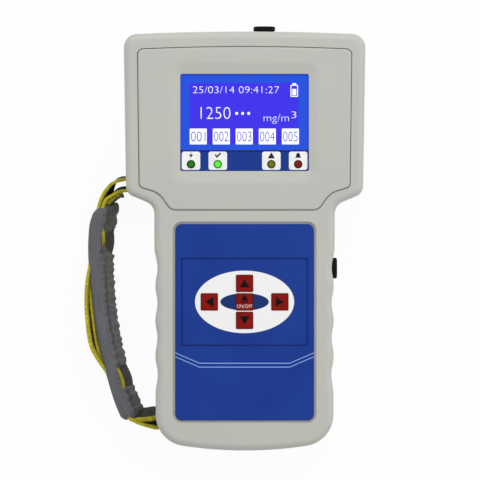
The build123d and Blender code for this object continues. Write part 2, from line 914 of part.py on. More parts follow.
pieces = {
    "front_shell": front_shell(),
    "back_shell": back_shell(),
    "case_seal": case_seal(),
    "case_screws": case_screws(),
    "battery_door": battery_door(),
    "door_screws": door_screws(),
    "battery_pack": battery_pack(),
    "display_bezel": display_bezel(),
    "lcd_module": lcd_module(),
    "lcd_glass": lcd_glass(),
    "lcd_active_area": lcd_active_area(),
    "indicator_strip": indicator_strip(),
    "lamp_holder": lamp_holder(),
    "main_board": main_board(),
    "board_screws": board_screws(),
    "buzzer": buzzer(),
    "keypad_circuit": keypad_circuit(),
    "keypad_overlay": keypad_overlay(),
    "inlet_nozzle": inlet_nozzle(),
    "inlet_cap": inlet_cap(),
    "sampling_hose": sampling_hose(),
    "optical_chamber": optical_chamber(),
    "laser_module": laser_module(),
    "photo_detector": photo_detector(),
    "fan_frame": fan_frame(),
    "fan_rotor": fan_rotor(),
    "charging_socket": charging_socket(),
    "charging_plug": charging_plug(),
    "strap_pin_upper": strap_pin_at(upper_pin),
    "strap_pin_lower": strap_pin_at(lower_pin),
    "strap_tape": strap_tape(),
    "strap_sleeve": strap_sleeve(),
}
for name, x in lamp_places.items():
    pieces[f"lamp_{name}"] = lamp(x)
for name, place in key_places.items():
    pieces[f"key_{name}"] = key_pad(place)

os.makedirs("parts", exist_ok=True)
for name, piece in pieces.items():
    export_step(piece, f"parts/{name}.step")
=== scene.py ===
import bpy
from math import cos, pi, radians, sin
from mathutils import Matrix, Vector


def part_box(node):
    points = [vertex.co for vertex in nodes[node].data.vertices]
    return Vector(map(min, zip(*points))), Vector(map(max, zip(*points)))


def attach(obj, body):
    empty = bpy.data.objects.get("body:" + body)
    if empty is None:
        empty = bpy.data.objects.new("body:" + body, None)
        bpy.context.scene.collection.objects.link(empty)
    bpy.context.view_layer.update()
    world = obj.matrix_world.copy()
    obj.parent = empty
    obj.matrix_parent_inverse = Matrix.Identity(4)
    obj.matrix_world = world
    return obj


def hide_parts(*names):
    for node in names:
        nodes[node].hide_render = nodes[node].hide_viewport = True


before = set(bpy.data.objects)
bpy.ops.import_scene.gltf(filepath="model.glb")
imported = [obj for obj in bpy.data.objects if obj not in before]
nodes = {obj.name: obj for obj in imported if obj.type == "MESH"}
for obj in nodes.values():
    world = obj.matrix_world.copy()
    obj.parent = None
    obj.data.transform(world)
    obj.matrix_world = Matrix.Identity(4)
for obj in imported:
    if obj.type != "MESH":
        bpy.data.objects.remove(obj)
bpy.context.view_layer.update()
mm = 0.001  # every size below is in millimetres and is turned into metres where a mesh is made
printHeight = 0.03  # thickness of a printed shape
printSink = 0.005  # how far it starts below the surface it is printed on
printShine = 0.1  # specular level of printed films


def deselectAll():
    bpy.ops.object.select_all(action="DESELECT")


def makeActive(piece):
    deselectAll()
    piece.select_set(True)
    bpy.context.view_layer.objects.active = piece


def boxOf(node):
    low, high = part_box(node)
    return Vector(low) / mm, Vector(high) / mm


def middleOf(node):
    low, high = boxOf(node)
    return (low + high) / 2


def applyPlace(piece):
    makeActive(piece)
    bpy.ops.object.transform_apply(location=True, rotation=True, scale=True)


def applyModifiers(piece):
    makeActive(piece)
    for modifier in list(piece.modifiers):
        bpy.ops.object.modifier_apply(modifier=modifier.name)


def dress(piece, material, body="case_body"):
    piece.data.materials.clear()
    piece.data.materials.append(material)
    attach(piece, body)


def paintNode(name, material):
    piece = nodes[name]
    piece.data.materials.clear()
    piece.data.materials.append(material)


class NodeSheet:
    def __init__(self, tree):
        self.tree = tree

    def add(self, kind, **settings):
        node = self.tree.nodes.new(kind)
        for key, value in settings.items():
            setattr(node, key, value)
        return node

    def link(self, source, target):
        self.tree.links.new(source, target)

    def math(self, operation, first, second=None, third=None, clamp=False):
        node = self.add("ShaderNodeMath", operation=operation, use_clamp=clamp)
        for socket, value in zip(node.inputs, (first, second, third)):
            if value is None:
                continue
            if isinstance(value, (int, float)):
                socket.default_value = value
            else:
                self.link(value, socket)
        return node.outputs[0]

    def ramp(self, value, low, high):  # 0 below low, 1 above high
        node = self.add("ShaderNodeMapRange", clamp=True, interpolation_type="SMOOTHSTEP")
        node.inputs["From Min"].default_value = low
        node.inputs["From Max"].default_value = high
        self.link(value, node.inputs["Value"])
        return node.outputs["Result"]

    def mixColour(self, mask, first, second):
        node = self.add("ShaderNodeMix", data_type="RGBA")
        self.link(mask, node.inputs["Factor"])
        for socket, value in ((node.inputs[6], first), (node.inputs[7], second)):
            if isinstance(value, tuple):
                socket.default_value = (*value, 1)
            else:
                self.link(value, socket)
        return node.outputs[2]

    def effect(self, group, **inputs):
        node = self.add("ShaderNodeGroup", node_tree=group)
        for key, value in inputs.items():
            if isinstance(value, (int, float)):
                node.inputs[key].default_value = value
            else:
                self.link(value, node.inputs[key])
        return node.outputs


def startGroup(name, inputs, outputs):
    group = bpy.data.node_groups.new(name, "ShaderNodeTree")
    for label, kind, value in inputs:
        socket = group.interface.new_socket(name=label, in_out="INPUT", socket_type=f"NodeSocket{kind}")
        if value is not None:
            socket.default_value = value
    for label, kind in outputs:
        group.interface.new_socket(name=label, in_out="OUTPUT", socket_type=f"NodeSocket{kind}")
    sheet = NodeSheet(group)
    return group, sheet, sheet.add("NodeGroupInput").outputs, sheet.add("NodeGroupOutput").inputs


def startMaterial(name, roughness, specular=0.5, metallic=0.0):
    material = bpy.data.materials.new(name)
    material.use_nodes = True
    shader = material.node_tree.nodes["Principled BSDF"]
    shader.inputs["Roughness"].default_value = roughness
    shader.inputs["Specular IOR Level"].default_value = specular
    shader.inputs["Metallic"].default_value = metallic
    sheet = NodeSheet(material.node_tree)
    place = sheet.add("ShaderNodeTexCoord").outputs["Object"]
    return material, sheet, shader, place


def addBump(sheet, shader, height, depth, strength=1.0):
    bump = sheet.add("ShaderNodeBump")
    bump.inputs["Strength"].default_value = strength
    bump.inputs["Distance"].default_value = depth * mm
    sheet.link(height, bump.inputs["Height"])
    sheet.link(bump.outputs["Normal"], shader.inputs["Normal"])


# Fine pitted grain of a moulded surface, and slow patches of slightly different tone
def makeMouldedGrain():
    group, sheet, given, put = startGroup(
        "mouldedGrain",
        [("Vector", "Vector", None), ("Grains", "Float", 3500.0), ("Patches", "Float", 30.0)],
        [("Height", "Float"), ("Patch", "Float")],
    )
    fine = sheet.add("ShaderNodeTexNoise")
    fine.inputs["Detail"].default_value = 3
    sheet.link(given["Vector"], fine.inputs["Vector"])
    sheet.link(given["Grains"], fine.inputs["Scale"])
    pits = sheet.add("ShaderNodeTexVoronoi", feature="SMOOTH_F1")
    sheet.link(given["Vector"], pits.inputs["Vector"])
    sheet.link(given["Grains"], pits.inputs["Scale"])
    slow = sheet.add("ShaderNodeTexNoise")
    slow.inputs["Detail"].default_value = 2
    sheet.link(given["Vector"], slow.inputs["Vector"])
    sheet.link(given["Patches"], slow.inputs["Scale"])
    sheet.link(sheet.math("MULTIPLY_ADD", fine.outputs[0], 0.6, pits.outputs["Distance"]), put["Height"])
    sheet.link(sheet.ramp(slow.outputs[0], 0.3, 0.7), put["Patch"])
    return group


# One inside an ellipse, zero outside
def makeEllipseMask():
    group, sheet, given, put = startGroup(
        "ellipseMask",
        [("Vector", "Vector", None), ("Centre X", "Float", 0.0), ("Centre Y", "Float", 0.0),
         ("Reach X", "Float", 1.0), ("Reach Y", "Float", 1.0), ("Soft", "Float", 0.01)],
        [("Mask", "Float")],
    )
    parts = sheet.add("ShaderNodeSeparateXYZ")
    sheet.link(given["Vector"], parts.inputs[0])
    squares = []
    for axis in "XY":
        off = sheet.math("SUBTRACT", parts.outputs[axis], given[f"Centre {axis}"])
        squares.append(sheet.math("POWER", sheet.math("DIVIDE", off, given[f"Reach {axis}"]), 2))
    radius = sheet.math("SQRT", sheet.math("ADD", *squares))
    edge = sheet.math("DIVIDE", sheet.math("SUBTRACT", 1.0, radius), given["Soft"])
    sheet.link(sheet.math("ADD", edge, 0.5, clamp=True), put["Mask"])
    return group


# One inside an upright rectangle, zero outside
def makeBoxMask():
    group, sheet, given, put = startGroup(
        "boxMask",
        [("Vector", "Vector", None), ("Centre X", "Float", 0.0), ("Centre Y", "Float", 0.0),
         ("Reach X", "Float", 1.0), ("Reach Y", "Float", 1.0), ("Soft", "Float", 0.0001)],
        [("Mask", "Float")],
    )
    parts = sheet.add("ShaderNodeSeparateXYZ")
    sheet.link(given["Vector"], parts.inputs[0])
    rooms = []
    for axis in "XY":
        off = sheet.math("ABSOLUTE", sheet.math("SUBTRACT", parts.outputs[axis], given[f"Centre {axis}"]))
        rooms.append(sheet.math("SUBTRACT", given[f"Reach {axis}"], off))
    edge = sheet.math("DIVIDE", sheet.math("MINIMUM", *rooms), given["Soft"])
    sheet.link(sheet.math("ADD", edge, 0.5, clamp=True), put["Mask"])
    return group


# A thin line that is level in the middle and rises at a slope towards both sides
def makeChevronMask():
    group, sheet, given, put = startGroup(
        "chevronMask",
        [("Vector", "Vector", None), ("Level", "Float", 0.0), ("Flat", "Float", 1.0),
         ("Slope", "Float", 0.5), ("Half", "Float", 0.0002), ("Soft", "Float", 0.0001)],
        [("Mask", "Float")],
    )
    parts = sheet.add("ShaderNodeSeparateXYZ")
    sheet.link(given["Vector"], parts.inputs[0])
    beyond = sheet.math("SUBTRACT", sheet.math("ABSOLUTE", parts.outputs["X"]), given["Flat"])
    rise = sheet.math("MULTIPLY_ADD", sheet.math("MAXIMUM", beyond, 0.0), given["Slope"], given["Level"])
    off = sheet.math("ABSOLUTE", sheet.math("SUBTRACT", parts.outputs["Y"], rise))
    edge = sheet.math("DIVIDE", sheet.math("SUBTRACT", given["Half"], off), given["Soft"])
    sheet.link(sheet.math("ADD", edge, 0.5, clamp=True), put["Mask"])
    return group


# Woven threads on a strip whose map runs along it (X) and across it (Y), both in millimetres
def makeThreadWeave():
    group, sheet, given, put = startGroup(
        "threadWeave",
        [("Vector", "Vector", None), ("Pitch", "Float", 1.0)],
        [("Height", "Float"), ("Gap", "Float")],
    )
    parts = sheet.add("ShaderNodeSeparateXYZ")
    sheet.link(given["Vector"], parts.inputs[0])
    along = sheet.math("DIVIDE", parts.outputs["X"], given["Pitch"])
    across = sheet.math("DIVIDE", parts.outputs["Y"], given["Pitch"])
    first = sheet.math("SINE", sheet.math("MULTIPLY", sheet.math("ADD", along, across), 2 * pi))
    second = sheet.math("SINE", sheet.math("MULTIPLY", sheet.math("SUBTRACT", along, across), 2 * pi))
    twill = sheet.math("MAXIMUM", first, second)
    height = sheet.math("MULTIPLY_ADD", twill, 0.5, 0.5)
    sheet.link(height, put["Height"])
    # Gap marks the hollows between threads, where painted shade is laid
    sheet.link(sheet.ramp(height, 0.75, 0.35), put["Gap"])
    return group


mouldedGrain = makeMouldedGrain()
ellipseMask = makeEllipseMask()
boxMask = makeBoxMask()
chevronMask = makeChevronMask()
threadWeave = makeThreadWeave()
print("effects ready")


casePlastic = {
    "shell": (0.495, 0.500, 0.462),
    "shellWarm": (0.515, 0.512, 0.468),
    "panel": (0.490, 0.497, 0.460),
    "panelWarm": (0.510, 0.508, 0.466),
    "roughness": (0.42, 0.52),
    "grainDepth": 0.02,
}


def mouldedPlastic(name, colour, warmColour, roughness, grainDepth, grains=3500.0, specular=0.35):
    material, sheet, shader, place = startMaterial(name, roughness[0], specular)
    grain = sheet.effect(mouldedGrain, Vector=place, Grains=grains, Patches=22.0)
    sheet.link(sheet.mixColour(grain["Patch"], colour, warmColour), shader.inputs["Base Color"])
    spread = sheet.math("MULTIPLY_ADD", grain["Patch"], roughness[1] - roughness[0], roughness[0])
    sheet.link(spread, shader.inputs["Roughness"])
    addBump(sheet, shader, grain["Height"], grainDepth, 0.5)
    return material


def finishCase():
    look = casePlastic
    finish = look["roughness"], look["grainDepth"]
    shell = mouldedPlastic("caseShell", look["shell"], look["shellWarm"], *finish)
    panel = mouldedPlastic("displayPanel", look["panel"], look["panelWarm"], *finish)
    for name in ("front_shell", "back_shell", "battery_door"):
        paintNode(name, shell)
    paintNode("display_bezel", panel)
    print("case finished")


keypad = {
    "blue": (0.0120, 0.0470, 0.285),
    "blueDeep": (0.0095, 0.0400, 0.262),
    "frameLine": (0.003, 0.012, 0.100),
    "white": (0.90, 0.90, 0.90),
    "innerBlue": (0.009, 0.032, 0.150),
    # the circuit layer seen in the gap round the overlay: its dark grey is painted shade, standing in for
    # the shade in that gap
    "gapShade": (0.125, 0.133, 0.156),
    "gapShadePale": (0.145, 0.153, 0.178),
    "stripe": (0.30, 0.45, 0.86),
    "ellipse": (28.1, 17.7),
    "innerEllipse": (13.75, 4.95),
    "frame": (35.9, 24.9),
    "frameWide": 0.70,
    "frameInk": 0.85,
    "stripeFlat": 25.6,
    "stripeSlope": 0.43,
    "stripeDrops": (34.8, 37.0),
    "stripeHalf": 0.22,
    "stripeSoft": 0.12,
    "ovalSoft": 0.15,
    "filmRoughness": 0.32,
    "filmGrain": {"Grains": 5200.0, "Patches": 35.0},
    "filmBump": (0.008, 0.4),
    "wellRoughness": 0.55,
    "wellGrain": {"Grains": 3000.0, "Patches": 60.0},
    "wellBump": (0.01, 0.4),
}


def finishKeypad():
    look = keypad
    centre = middleOf("key_power")
    material, sheet, shader, place = startMaterial("keypadFilm", look["filmRoughness"], printShine)
    grain = sheet.effect(mouldedGrain, Vector=place, **look["filmGrain"])
    colour = sheet.mixColour(grain["Patch"], look["blue"], look["blueDeep"])
    reachX, reachY = look["frame"]
    line = look["frameWide"]
    outside = sheet.effect(boxMask, Vector=place, **maskBox(centre, reachX, reachY))["Mask"]
    inside = sheet.effect(boxMask, Vector=place, **maskBox(centre, reachX - line, reachY - line))["Mask"]
    ring = sheet.math("SUBTRACT", outside, inside, clamp=True)
    colour = sheet.mixColour(sheet.math("MULTIPLY", ring, look["frameInk"]), colour, look["frameLine"])
    for drop in look["stripeDrops"]:
        stripe = sheet.effect(
            chevronMask, Vector=place, Level=(centre.y - drop) * mm, Flat=look["stripeFlat"] * mm,
            Slope=look["stripeSlope"], Half=look["stripeHalf"] * mm, Soft=look["stripeSoft"] * mm,
        )["Mask"]
        colour = sheet.mixColour(stripe, colour, look["stripe"])
    for reach, fill in ((look["ellipse"], look["white"]), (look["innerEllipse"], look["innerBlue"])):
        oval = sheet.effect(ellipseMask, Vector=place, **maskOval(centre, *reach, look["ovalSoft"]))["Mask"]
        colour = sheet.mixColour(oval, colour, fill)
    sheet.link(colour, shader.inputs["Base Color"])
    addBump(sheet, shader, grain["Height"], *look["filmBump"])
    paintNode("keypad_overlay", material)
    # keypad_circuit gets a dark grey that paints the shade in the gap round the overlay
    gapShade, sheet, shader, place = startMaterial("keypadGapShade", look["wellRoughness"], printShine)
    grain = sheet.effect(mouldedGrain, Vector=place, **look["wellGrain"])
    sheet.link(sheet.mixColour(grain["Patch"], look["gapShade"], look["gapShadePale"]), shader.inputs["Base Color"])
    addBump(sheet, shader, grain["Height"], *look["wellBump"])
    paintNode("keypad_circuit", gapShade)
    print("keypad film printed")


def maskBox(centre, reachX, reachY, soft=0.1):
    return {
        "Centre X": centre.x * mm, "Centre Y": centre.y * mm,
        "Reach X": reachX * mm, "Reach Y": reachY * mm, "Soft": soft * mm,
    }


def maskOval(centre, reachX, reachY, soft):
    return maskBox(centre, reachX, reachY) | {"Soft": soft / reachX}


keyCaps = {
    "red": (0.262, 0.0045, 0.0015),
    "redDeep": (0.215, 0.0035, 0.0012),
    "rim": (0.120, 0.002, 0.001),
    "rimWidth": 0.45,
    "rimSoft": 0.3,
    "filmRoughness": 0.34,
    "filmGrain": {"Grains": 5200.0, "Patches": 160.0},
    "filmBump": (0.008, 0.4),
    "mark": (0.001, 0.001, 0.001),
    "letters": (0.85, 0.84, 0.82),
    "triangle": (5.8, 4.7),
    "powerTriangle": (4.4, 3.3),
    "powerTriangleRise": 2.4,
    "powerBar": (4.1, 0.8),
    "powerBarCorner": 0.1,
    "words": (8.8, 2.0),
    "wordsDrop": 2.5,
    "wordsWeight": -0.01,
}


def keyMaterial(name):
    look = keyCaps
    material, sheet, shader, place = startMaterial(f"{name}Film", look["filmRoughness"], printShine)
    centre = middleOf(name)
    low, high = boxOf(name)
    grain = sheet.effect(mouldedGrain, Vector=place, **look["filmGrain"])
    colour = sheet.mixColour(grain["Patch"], look["red"], look["redDeep"])
    reach = (high.x - low.x) / 2 - look["rimWidth"]
    face = sheet.effect(boxMask, Vector=place, **maskBox(centre, reach, reach, look["rimSoft"]))["Mask"]
    sheet.link(sheet.mixColour(face, look["rim"], colour), shader.inputs["Base Color"])
    addBump(sheet, shader, grain["Height"], *look["filmBump"])
    return material


def printPlace(x, y, base):
    return x * mm, y * mm, (base - printSink) * mm


triangleWide, triangleTall = 1.732, 1.5  # of an even triangle in a circle of radius 1


# A flat printed triangle, pointing along the given turn (0 points up)
def printTriangle(name, centre, size, turn, base):
    deselectAll()
    bpy.ops.mesh.primitive_circle_add(vertices=3, radius=1, fill_type="NGON", location=(0, 0, 0))
    piece = bpy.context.object
    piece.name = name
    width, height = size
    middle = 1 - triangleTall / 2
    for vertex in piece.data.vertices:
        x, y = vertex.co.x, vertex.co.y
        vertex.co = (x / triangleWide * width * mm, (y - middle) / triangleTall * height * mm, 0)
    piece.rotation_euler.z = radians(turn)
    piece.location = printPlace(centre.x, centre.y, base)
    applyPlace(piece)
    raisePrint(piece)
    return piece


def raisePrint(piece):
    makeActive(piece)
    bpy.ops.object.mode_set(mode="EDIT")
    bpy.ops.mesh.select_all(action="SELECT")
    bpy.ops.mesh.extrude_region_move(TRANSFORM_OT_translate={"value": (0, 0, printHeight * mm)})
    bpy.ops.mesh.select_all(action="SELECT")
    bpy.ops.mesh.normals_make_consistent(inside=False)
    bpy.ops.object.mode_set(mode="OBJECT")


# A flat printed rectangle with rounded corners
def printPanel(name, centre, size, corner, base):
    deselectAll()
    bpy.ops.mesh.primitive_plane_add(size=1, location=printPlace(centre.x, centre.y, base))
    piece = bpy.context.object
    piece.name = name
    piece.scale = (size[0] * mm, size[1] * mm, 1)
    applyPlace(piece)
    if corner:
        bpy.ops.object.mode_set(mode="EDIT")
        bpy.ops.mesh.select_all(action="SELECT")
        bpy.ops.mesh.bevel(offset=corner * mm, segments=5, affect="VERTICES")
        bpy.ops.object.mode_set(mode="OBJECT")
    raisePrint(piece)
    return piece


def printDisc(name, centre, diameter, base):
    deselectAll()
    place = printPlace(centre.x, centre.y, base)
    radius = diameter / 2 * mm
    bpy.ops.mesh.primitive_circle_add(vertices=40, radius=radius, fill_type="NGON", location=place)
    piece = bpy.context.object
    piece.name = name
    applyPlace(piece)
    raisePrint(piece)
    return piece


# Printed figures, stretched to fill the given width and height about a centre
def printWords(name, words, centre, size, base, weight):
    deselectAll()
    bpy.ops.object.text_add(location=(0, 0, 0))
    piece = bpy.context.object
    piece.name = name
    piece.data.body = words
    piece.data.size = 1
    piece.data.resolution_u = 4
    piece.data.offset = weight
    bpy.ops.object.convert(target="MESH")
    piece = bpy.context.object
    xs = [vertex.co.x for vertex in piece.data.vertices]
    ys = [vertex.co.y for vertex in piece.data.vertices]
    wide = max(xs) - min(xs)
    tall = max(ys) - min(ys)
    for vertex in piece.data.vertices:
        x = (vertex.co.x - (min(xs) + max(xs)) / 2) / wide * size[0]
        y = (vertex.co.y - (min(ys) + max(ys)) / 2) / tall * size[1]
        vertex.co = printPlace(centre.x + x, centre.y + y, base)
    raisePrint(piece)
    return piece


def shade(colour, share):
    return tuple(part * share for part in colour)


def printMaterial(name, colour, roughness=0.5, glow=0.0):
    material, sheet, shader, place = startMaterial(name, roughness, printShine)
    grain = sheet.effect(mouldedGrain, Vector=place, Grains=6000.0, Patches=300.0)
    tone = sheet.mixColour(grain["Patch"], colour, shade(colour, 0.9))
    sheet.link(tone, shader.inputs["Base Color"])
    if glow:
        sheet.link(tone, shader.inputs["Emission Color"])
        shader.inputs["Emission Strength"].default_value = glow
    addBump(sheet, shader, grain["Height"], 0.004, 0.3)
    return material


def finishKeys():
    look = keyCaps
    black = printMaterial("keyMarkBlack", look["mark"], roughness=0.4)
    pale = printMaterial("keyLettersWhite", look["letters"])
    turns = {"key_up": 0, "key_left": 90, "key_down": 180, "key_right": 270}
    for name, turn in turns.items():
        paintNode(name, keyMaterial(name))
        top = boxOf(name)[1].z
        dress(printTriangle(f"{name}_mark", middleOf(name), look["triangle"], turn, top), black, name)
    name = "key_power"
    paintNode(name, keyMaterial(name))
    top = boxOf(name)[1].z
    centre = middleOf(name)
    upper = centre + Vector((0, look["powerTriangleRise"], 0))
    lower = centre - Vector((0, look["wordsDrop"], 0))
    dress(printTriangle("power_mark", upper, look["powerTriangle"], 0, top), black, name)
    dress(printPanel("power_bar", centre, look["powerBar"], look["powerBarCorner"], top), black, name)
    dress(printWords("power_words", "ON/OFF", lower, look["words"], top, look["wordsWeight"]), pale, name)
    print("keys finished")


display = {
    "border": (0.019, 0.083, 0.700),
    "borderDeep": (0.016, 0.075, 0.660),
    "active": (0.050, 0.032, 0.790),
    "activeDeep": (0.045, 0.029, 0.750),
    "glow": 0.10,
    "roughness": 0.22,
    "cells": 4000,
    "figuresGlow": 0.25,
    "boxFiguresGlow": 0.1,
    "white": (0.90, 0.91, 0.98),
    "figures": (0.82, 0.82, 1.0),
    "boxFigures": (0.05, 0.06, 0.55),
    "clock": {"words": "25/03/14 09:41:27", "centre": (-4.6, 13.5), "size": (49.0, 4.0)},
    "reading": {"words": "1250", "centre": (-16.2, 0.3), "size": (17.0, 6.9)},
    "dots": {"xs": (-4.2, -0.8, 2.6), "y": 0.1, "diameter": 1.7},
    "unit": {"words": "mg/m", "centre": (18.3, -3.0), "size": (14.4, 5.6)},
    "power": {"words": "3", "centre": (28.2, -0.7), "size": (2.9, 3.9)},
    "soft": {"xs": (-26.0, -12.9, 0.1, 13.2, 26.3), "y": -13.0, "size": (9.7, 9.0), "corner": 0.35},
    "softWords": ("001", "002", "003", "004", "005"),
    "softLetters": (8.2, 5.6),
    "thin": -0.014,
    "battery": {
        "centre": (28.5, 12.9), "size": (4.3, 6.9), "corner": 0.5, "line": 0.55, "hollowCorner": 0.3,
        "cap": (2.0, 1.0), "capRise": 0.4, "capCorner": 0.2,
        "level": 0.62, "levelGap": 0.5, "levelRise": 0.4, "levelCorner": 0.2,
    },
}


def screenMaterial(name, colour):
    look = display
    material, sheet, shader, place = startMaterial(name, look["roughness"], printShine)
    cells = sheet.add("ShaderNodeTexChecker")
    cells.inputs["Scale"].default_value = look["cells"]
    cells.inputs["Color1"].default_value = (*look[colour], 1)
    cells.inputs["Color2"].default_value = (*look[f"{colour}Deep"], 1)
    sheet.link(place, cells.inputs["Vector"])
    sheet.link(cells.outputs["Color"], shader.inputs["Base Color"])
    sheet.link(cells.outputs["Color"], shader.inputs["Emission Color"])
    shader.inputs["Emission Strength"].default_value = look["glow"]
    return material


def finishDisplay():
    look = display
    active = screenMaterial("screenActive", "active")
    paintNode("lcd_glass", screenMaterial("screenBorder", "border"))
    paintNode("lcd_active_area", active)
    low, high = boxOf("lcd_active_area")
    centre = (low + high) / 2
    top = high.z
    white = printMaterial("screenWhite", look["white"], roughness=0.4, glow=look["figuresGlow"])
    figures = printMaterial("screenFigures", look["figures"], roughness=0.4, glow=look["figuresGlow"])
    blue = printMaterial("screenBoxFigures", look["boxFigures"], roughness=0.4, glow=look["boxFiguresGlow"])

    def at(x, y):
        return centre + Vector((x, y, 0))

    for name in ("clock", "reading", "unit", "power"):
        part = look[name]
        words, size = part["words"], part["size"]
        dress(printWords(f"screen_{name}", words, at(*part["centre"]), size, top, look["thin"]), figures)
    for index, x in enumerate(look["dots"]["xs"]):
        place = at(x, look["dots"]["y"])
        dress(printDisc(f"screen_dot_{index}", place, look["dots"]["diameter"], top), white)
    soft = look["soft"]
    above = top + printHeight
    for index, (x, words) in enumerate(zip(soft["xs"], look["softWords"])):
        place = at(x, soft["y"])
        dress(printPanel(f"screen_box_{index}", place, soft["size"], soft["corner"], top), white)
        name = f"screen_box_words_{index}"
        dress(printWords(name, words, place, look["softLetters"], above, look["thin"]), blue)
    makeBattery(at, white, active, top)
    print("screen filled")


def makeBattery(at, white, active, top):
    look = display["battery"]
    x, y = look["centre"]
    wide, tall = look["size"]
    dress(printPanel("screen_battery", at(x, y), look["size"], look["corner"], top), white)
    place = at(x, y + tall / 2 + look["capRise"])
    dress(printPanel("screen_battery_cap", place, look["cap"], look["capCorner"], top), white)
    inner = (wide - 2 * look["line"], tall - 2 * look["line"])
    hollow = printPanel("screen_battery_hollow", at(x, y), inner, look["hollowCorner"], top + printHeight)
    dress(hollow, active)
    level = (inner[0] - 2 * look["levelGap"], inner[1] * look["level"])
    place = at(x, y - (inner[1] - level[1]) / 2 + look["levelRise"])
    dress(printPanel("screen_battery_fill", place, level, look["levelCorner"], top + 2 * printHeight), white)


strip = {
    "navy": (0.0120, 0.0440, 0.270),
    "navyDeep": (0.0095, 0.0380, 0.245),
    "topLine": (0.004, 0.012, 0.090),
    "topLineWide": 0.7,
    "white": (0.94, 0.94, 0.95),
    "box": (10.5, 10.4),
    "boxLift": 2.0,
    "boxCorner": 1.3,
    "ink": (0.015, 0.015, 0.02),
    # dark ring round each lens, a dark tone of the lamp's own colour: painted shade at the lens rim
    "ring": 4.9,
    "ringPaintedShade": 0.32,
    # the lens is painted darker towards its rim, keeping full colour only in the middle spot: painted shade
    # on the domed lens
    "spot": 1.9,
    "spotSoft": 1.71,
    "lensPaintedShade": 0.45,
    "lensFinish": (0.16, 0.15),
    "filmFinish": ((0.3, 0.4), 0.005),
    "signLift": 5.0,
    "signScale": 1.2,
}
lampLook = {  # colour and glow
    "lamp_charging": ((0.018, 0.180, 0.008), 0.0),
    "lamp_normal": ((0.115, 0.850, 0.055), 0.12),
    "lamp_fault": ((0.155, 0.175, 0.008), 0.0),
    "lamp_alarm": ((0.205, 0.006, 0.008), 0.0),
}


# painted shade: the lens darkens from its middle towards its rim
def lampMaterial(name, colour, glow):
    look = strip
    material, sheet, shader, place = startMaterial(f"{name}Lens", *look["lensFinish"])
    reach = look["spot"]
    oval = maskOval(middleOf(name), reach, reach, look["spotSoft"])
    spot = sheet.effect(ellipseMask, Vector=place, **oval)["Mask"]
    tone = sheet.mixColour(spot, shade(colour, look["lensPaintedShade"]), colour)
    sheet.link(tone, shader.inputs["Base Color"])
    sheet.link(tone, shader.inputs["Emission Color"])
    shader.inputs["Emission Strength"].default_value = glow
    return material


def finishStrip():
    look = strip
    finish = look["filmFinish"]
    film = mouldedPlastic("stripFilm", look["navy"], look["navyDeep"], *finish, specular=printShine)
    paintNode("indicator_strip", film)
    paintNode("lamp_holder", film)
    white = printMaterial("stripWhite", look["white"])
    ink = printMaterial("stripInk", look["ink"])
    low, high = boxOf("indicator_strip")
    wide = look["topLineWide"]
    line = Vector(((low.x + high.x) / 2, high.y - wide / 2, 0))
    topLine = printPanel("strip_top_line", line, (high.x - low.x, wide), 0, high.z)
    dress(topLine, printMaterial("stripLine", look["topLine"]))
    for name, (colour, glow) in lampLook.items():
        centre = middleOf(name)
        paintNode(name, lampMaterial(name, colour, glow))
        middle = centre + Vector((0, look["boxLift"], 0))
        dress(printPanel(f"{name}_box", middle, look["box"], look["boxCorner"], high.z), white)
        # painted shade: a dark ring at the rim of each lens
        rim = printMaterial(f"{name}Rim", shade(colour, look["ringPaintedShade"]))
        dress(printDisc(f"{name}_ring", centre, look["ring"], high.z + printHeight), rim)
        makeSign(name, centre + Vector((0, look["signLift"], 0)), high.z + printHeight, ink)
    print("indicator strip finished")


# Plain signs over the lamps: a bolt, a tick, a triangle and a bell
signs = {
    "lamp_charging": [(0.5, 1.5), (-1.1, -0.3), (-0.1, -0.3), (-0.5, -1.5), (1.1, 0.3), (0.1, 0.3)],
    "lamp_normal": [(-1.5, 0.1), (-1.0, 0.6), (-0.4, -0.1), (1.1, 1.4), (1.6, 0.9), (-0.4, -1.2)],
    "lamp_fault": [(0, 1.5), (1.7, -1.4), (-1.7, -1.4)],
    "lamp_alarm": [
        (-1.5, -1.1), (-1.0, -0.5), (-0.9, 0.5), (-0.35, 1.2),
        (0.35, 1.2), (0.9, 0.5), (1.0, -0.5), (1.5, -1.1),
    ],
}


def makeSign(name, centre, base, ink):
    corners = signs[name]
    deselectAll()
    bpy.ops.mesh.primitive_circle_add(vertices=len(corners), radius=1, fill_type="NGON", location=(0, 0, 0))
    piece = bpy.context.object
    piece.name = f"{name}_sign"
    clockwise = sum(a[0] * b[1] - b[0] * a[1] for a, b in zip(corners, corners[1:] + corners[:1])) < 0
    order = corners[::-1] if clockwise else corners
    scale = strip["signScale"]
    for vertex, (x, y) in zip(piece.data.vertices, order):
        vertex.co = printPlace(centre.x + x * scale, centre.y + y * scale, base)
    raisePrint(piece)
    dress(piece, ink)


